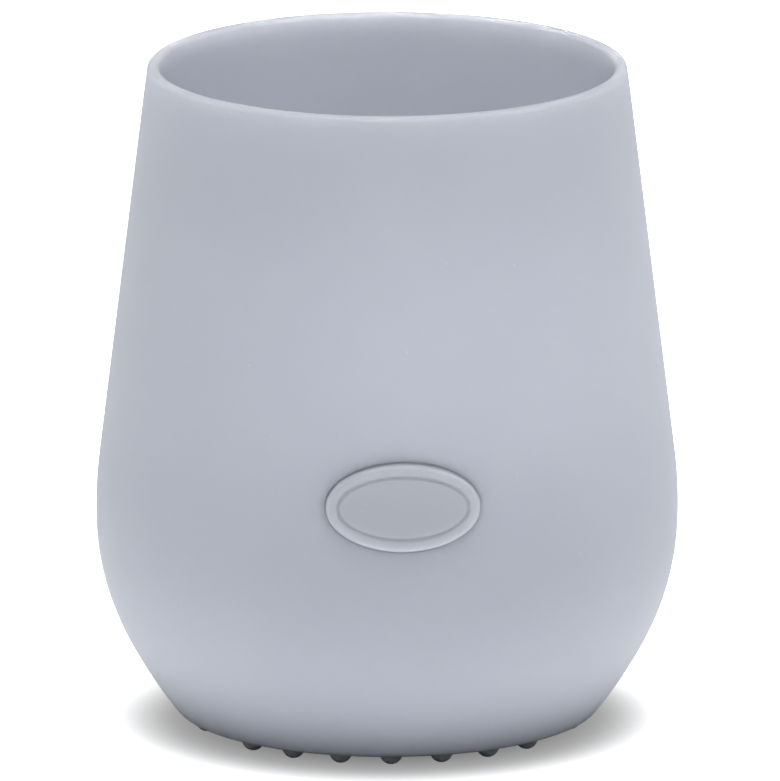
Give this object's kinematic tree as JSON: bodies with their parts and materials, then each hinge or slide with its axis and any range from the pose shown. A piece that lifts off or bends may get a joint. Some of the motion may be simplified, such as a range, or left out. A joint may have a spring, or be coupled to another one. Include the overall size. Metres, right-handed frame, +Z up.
{
  "type": "toddler cup",
  "caption": "Soft handleless drinking cup for a small child, with a tapered wall, a rounded lip, a wide bellied bottom and three runs of grip bumps round the edge of its base.",
  "frame": {"origin": "on the surface that the cup stands on, under the cup's axis", "axes": "+Z up along the cup's axis, -Y to the front, where the raised pad is"},
  "size_m": [0.07, 0.0708, 0.0807],
  "materials": {
    "silicone": "moulded silicone, blue-grey, smooth matte"
  },
  "bodies": {
    "root": {"cup_body": "silicone", "front_pad": "silicone", "base_bump_01": "silicone", "base_bump_02": "silicone", "base_bump_03": "silicone", "base_bump_04": "silicone", "base_bump_05": "silicone", "base_bump_06": "silicone", "base_bump_07": "silicone", "base_bump_08": "silicone", "base_bump_09": "silicone", "base_bump_10": "silicone", "base_bump_11": "silicone", "base_bump_12": "silicone", "base_bump_13": "silicone", "base_bump_14": "silicone", "base_bump_15": "silicone", "base_bump_16": "silicone", "base_bump_17": "silicone", "base_bump_18": "silicone", "base_bump_19": "silicone", "base_bump_20": "silicone", "base_bump_21": "silicone"}
  },
  "joints": []
}
